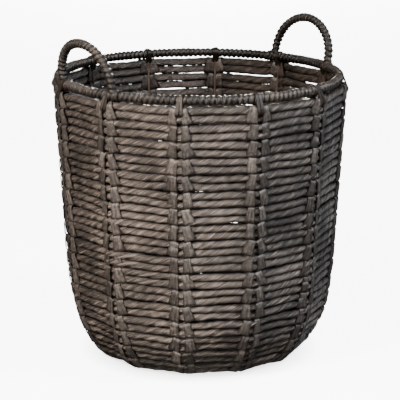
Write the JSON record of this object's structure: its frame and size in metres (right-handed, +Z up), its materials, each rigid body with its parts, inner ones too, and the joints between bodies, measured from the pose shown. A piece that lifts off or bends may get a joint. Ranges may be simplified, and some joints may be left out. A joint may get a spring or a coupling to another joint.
{
  "type": "log basket",
  "caption": "Round tapered log basket woven from paired twisted paper ropes on a wire frame, with a wound rim and two upright loop handles.",
  "frame": {"origin": "on the floor, under the middle of the base", "axes": "+Z up; the two handles are on -X (front handle) and +X (back handle)"},
  "size_m": [0.401, 0.395, 0.4543],
  "materials": {
    "twisted_rope": "matt twisted paper rope, dark brown-grey",
    "paper_band": "matt flat crumpled paper band",
    "wound_cord": "matt thin twisted paper cord",
    "frame_wire": "dark brown painted steel wire"
  },
  "bodies": {
    "root": {"back_handle_winding": "wound_cord", "back_handle_wire": "frame_wire", "base_course_01": "twisted_rope", "base_course_02": "twisted_rope", "base_course_03": "twisted_rope", "base_course_04": "twisted_rope", "base_ring": "frame_wire", "centre_coil": "twisted_rope", "course_01": "twisted_rope", "course_02": "twisted_rope", "course_03": "twisted_rope", "course_04": "twisted_rope", "course_05": "twisted_rope", "course_06": "twisted_rope", "course_07": "twisted_rope", "course_08": "twisted_rope", "course_09": "twisted_rope", "course_10": "twisted_rope", "course_11": "twisted_rope", "course_12": "twisted_rope", "course_13": "twisted_rope", "course_14": "twisted_rope", "course_15": "twisted_rope", "course_16": "twisted_rope", "course_17": "twisted_rope", "foot_lashings": "paper_band", "front_handle_winding": "wound_cord", "front_handle_wire": "frame_wire", "hub_ring": "frame_wire", "lashings_01": "paper_band", "lashings_02": "paper_band", "lashings_03": "paper_band", "lashings_04": "paper_band", "lashings_05": "paper_band", "lashings_06": "paper_band", "lashings_07": "paper_band", "lashings_08": "paper_band", "lashings_09": "paper_band", "lashings_10": "paper_band", "lashings_11": "paper_band", "lashings_12": "paper_band", "rib_01": "frame_wire", "rib_02": "frame_wire", "rib_03": "frame_wire", "rib_04": "frame_wire", "rib_05": "frame_wire", "rib_06": "frame_wire", "rib_07": "frame_wire", "rib_08": "frame_wire", "rib_09": "frame_wire", "rib_10": "frame_wire", "rib_11": "frame_wire", "rib_12": "frame_wire", "rim_ring": "frame_wire", "rim_ties": "paper_band", "rim_winding": "wound_cord"}
  },
  "joints": []
}
